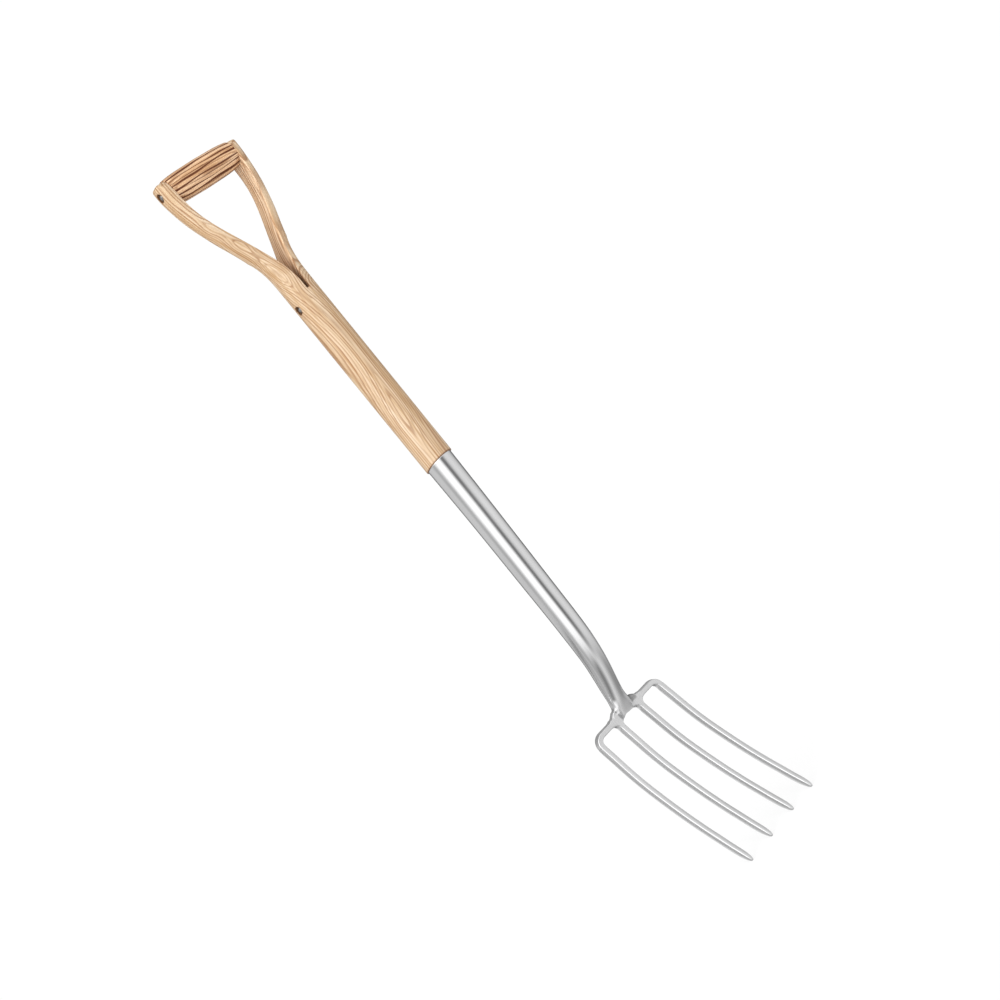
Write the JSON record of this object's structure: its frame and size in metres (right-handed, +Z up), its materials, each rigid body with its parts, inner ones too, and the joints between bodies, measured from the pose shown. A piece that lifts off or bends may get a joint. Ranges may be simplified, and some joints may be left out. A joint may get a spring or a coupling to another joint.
{
  "type": "digging fork",
  "caption": "Long-handled garden fork: tined steel head on a curved tubular socket, round ash shaft split into a D-shaped yoke with a barrel hand grip.",
  "frame": {"origin": "on the axis of the straight ash shaft, where the wood meets the slanted mouth of the steel socket", "axes": "+Z up the shaft to the grip, +X along the grip and along the row of tines, -Y the front, the concave side of the tines"},
  "size_m": [0.127, 0.1173, 0.97],
  "materials": {
    "head_steel": "satin, ground lengthwise",
    "socket_steel": "bright satin, brushed lengthwise",
    "weld_steel": "ground weld",
    "ash_wood": "thin clear varnish",
    "grip_wood": "thin clear varnish",
    "rivet_steel": "dull",
    "washer_steel": "dull",
    "pin_steel": "satin"
  },
  "bodies": {
    "root": {"fork_head": "head_steel", "steel_socket": "socket_steel", "socket_weld": "weld_steel", "ash_shaft": "ash_wood", "grip_barrel": "grip_wood", "grip_rivet": "rivet_steel", "grip_rivet_washers": "washer_steel", "split_rivet": "rivet_steel", "split_rivet_washers": "washer_steel", "socket_pin": "pin_steel"}
  },
  "joints": []
}
